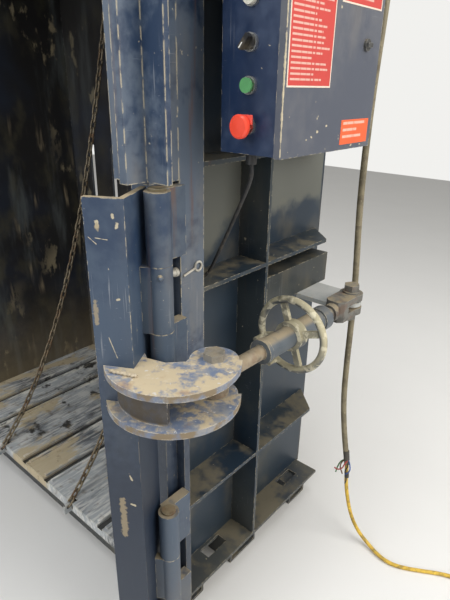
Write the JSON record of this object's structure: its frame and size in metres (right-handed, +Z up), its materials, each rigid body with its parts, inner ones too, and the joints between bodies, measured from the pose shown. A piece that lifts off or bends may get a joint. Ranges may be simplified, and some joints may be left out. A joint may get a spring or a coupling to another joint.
{
  "type": "recycling baler",
  "caption": "vertical recycling baler with an open chamber, swing-out bale door, turnbuckle latch with handwheel, feed gate, platen, ejector chains and control box",
  "frame": {"origin": "on the floor under the bale chamber, midway between its side walls", "axes": "+X to the machine's right side, where the control box is; -Y to the front; +Z up"},
  "size_m": [2.8479, 2.3756, 3.6202],
  "materials": {
    "blue_paint": "dark navy-blue gloss enamel, chipped to cream and bare steel at the edges",
    "worn_steel": "dark paint under brown dust, rubbed to bare steel",
    "dusty_steel": "blue paint under tan dust and rust",
    "bare_steel": "plain steel, a little rusty",
    "rod_chrome": "ground and plated",
    "motor_grey": "grey enamel",
    "panel_grey": "light grey",
    "black_plastic": "black",
    "green_plastic": "green",
    "red_plastic": "red-orange",
    "black_rubber": "black sheath",
    "grey_rubber": "dusty grey sheath",
    "yellow_rubber": "dirty yellow sheath"
  },
  "bodies": {
    "frame": {"base_rails": "blue_paint", "chamber_floor": "worn_steel", "floor_slot_channels": "worn_steel", "right_wall": "blue_paint", "left_wall": "blue_paint", "back_wall": "worn_steel", "back_ribs": "blue_paint", "right_ribs": "blue_paint", "left_ribs": "blue_paint", "right_post": "blue_paint", "left_post": "blue_paint", "right_jamb": "blue_paint", "left_jamb": "blue_paint", "right_gate_guide": "blue_paint", "left_gate_guide": "blue_paint", "front_header": "blue_paint", "top_frame": "blue_paint", "screw_beam": "blue_paint", "screw_bracket": "blue_paint", "latch_frame_knuckles": "blue_paint", "latch_pins": "bare_steel", "bracket_bolt": "bare_steel", "post_fitting": "bare_steel", "door_frame_knuckles": "blue_paint", "cylinder": "blue_paint", "oil_tank": "blue_paint", "pump_motor": "motor_grey", "left_chain": "bare_steel", "right_chain": "bare_steel", "control_box": "blue_paint", "box_bracket": "blue_paint", "panel_gear": "panel_grey", "pilot_light": "panel_grey", "button_bezels": "bare_steel", "cable_gland": "black_plastic", "control_cable": "black_rubber", "supply_cable": "grey_rubber", "yellow_lead": "yellow_rubber", "lead_coil": "yellow_rubber", "lead_plug": "black_plastic"},
    "latch": {"latch_bar": "blue_paint", "latch_bar_knuckles": "blue_paint", "upper_jaw": "dusty_steel", "lower_jaw": "dusty_steel", "jaw_bolt": "bare_steel"},
    "fork": {"fork_rod": "dusty_steel"},
    "sleeve": {"screw_sleeve": "blue_paint", "handwheel": "dusty_steel"},
    "eye": {"eye_rod": "dusty_steel"},
    "door": {"bale_door": "blue_paint", "door_ribs": "blue_paint", "door_hinge_knuckles": "blue_paint"},
    "gate": {"feed_gate": "blue_paint"},
    "ram": {"platen": "blue_paint", "ram_rod": "rod_chrome"},
    "box_door": {"control_box_door": "blue_paint"},
    "lock": {"door_lock": "bare_steel"},
    "selector_knob": {"selector": "black_plastic"},
    "start_button": {"green_button": "green_plastic"},
    "emergency_button": {"stop_button": "red_plastic"}
  },
  "joints": [
    {"name": "wheel_spin", "type": "hinge", "parent": "fork", "child": "sleeve", "pos_m": [0.88787, -0.11291, 0.895], "axis": [-0.0252, -0.9997, 0], "range_deg": [-180, 1080]},
    {"name": "fork_swing", "type": "hinge", "parent": "frame", "child": "fork", "pos_m": [0.895, 0.17, 0.895], "axis": [0, 0, 1], "range_deg": [-0.25, 1.4]},
    {"name": "eye_slide", "type": "slide", "parent": "fork", "child": "eye", "axis": [-0.0252, -0.9997, 0], "range_m": [-0.0096, 0.0569]},
    {"name": "latch_hinge", "type": "hinge", "parent": "frame", "child": "latch", "pos_m": [0.781, -0.432, 0.7], "axis": [0, 0, 1], "range_deg": [-30.1, 5.1]},
    {"name": "door_hinge", "type": "hinge", "parent": "frame", "child": "door", "pos_m": [-0.781, -0.432, 0.7], "axis": [0, 0, 1], "range_deg": [-10, 105]},
    {"name": "gate_slide", "type": "slide", "parent": "frame", "child": "gate", "axis": [0, 0, 1], "range_m": [-0.595, 0]},
    {"name": "ram_slide", "type": "slide", "parent": "frame", "child": "ram", "axis": [0, 0, -1], "range_m": [0, 1], "deforming": ["left_chain", "right_chain"]},
    {"name": "box_door_hinge", "type": "hinge", "parent": "frame", "child": "box_door", "pos_m": [0.957, -0.325, 1.538], "axis": [0, 0, 1], "range_deg": [-110, 0]},
    {"name": "lock_turn", "type": "hinge", "parent": "box_door", "child": "lock", "pos_m": [0.969, -0.054, 1.522], "axis": [1, 0, 0], "range_deg": [0, 90]},
    {"name": "selector_turn", "type": "hinge", "parent": "frame", "child": "selector_knob", "pos_m": [0.899, -0.33, 1.513], "axis": [0, -1, 0], "range_deg": [-45, 45]},
    {"name": "start_press", "type": "slide", "parent": "frame", "child": "start_button", "axis": [0, 1, 0], "range_m": [0, 0.004], "stiffness_N_per_m": 400},
    {"name": "stop_press", "type": "slide", "parent": "frame", "child": "emergency_button", "axis": [0, 1, 0], "range_m": [0, 0.004], "stiffness_N_per_m": 400}
  ],
  "couplings": [
    {"joint": "latch_hinge", "follows": "wheel_spin", "ratio": -0.027778},
    {"joint": "fork_swing", "follows": "wheel_spin", "ratio": 0.00125},
    {"joint": "eye_slide", "follows": "wheel_spin", "m_per_rad": 0.0030133}
  ]
}
